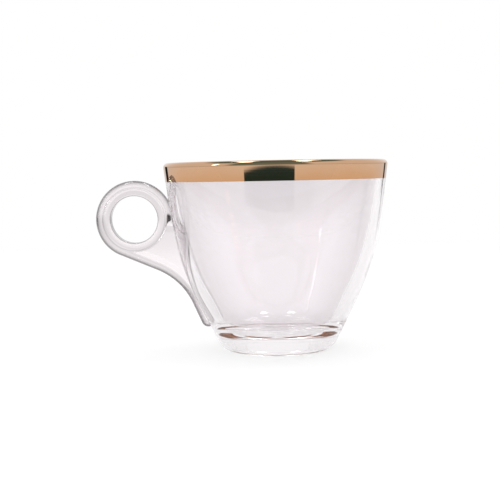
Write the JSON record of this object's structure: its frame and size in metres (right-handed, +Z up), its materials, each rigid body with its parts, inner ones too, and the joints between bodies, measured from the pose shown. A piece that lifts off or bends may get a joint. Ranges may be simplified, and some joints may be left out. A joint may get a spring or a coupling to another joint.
{
  "type": "glass coffee cup",
  "caption": "Small clear glass coffee cup with a thick solid base, a flat ring handle with a tail down the wall, and a bright gold band over the rim.",
  "frame": {"origin": "on the cup's axis, at the plane of the standing ring under the base", "axes": "+Z up along the cup's axis, -X from the axis to the handle, Y across the handle's flat faces"},
  "size_m": [0.0919, 0.0702, 0.0593],
  "materials": {
    "clear_glass": "clear pressed glass, fire polished, with a faint lilac cast",
    "handle_glass": "clear pressed glass, fire polished, with a faint lilac cast",
    "bright_gold": "bright fired gold, mirror smooth with faint lines round the cup",
    "lip_gold": "bright fired gold over the rounded lip, a little worn"
  },
  "bodies": {
    "root": {"bowl": "clear_glass", "handle": "handle_glass", "gold_band": "bright_gold", "gold_lip": "lip_gold"}
  },
  "joints": []
}
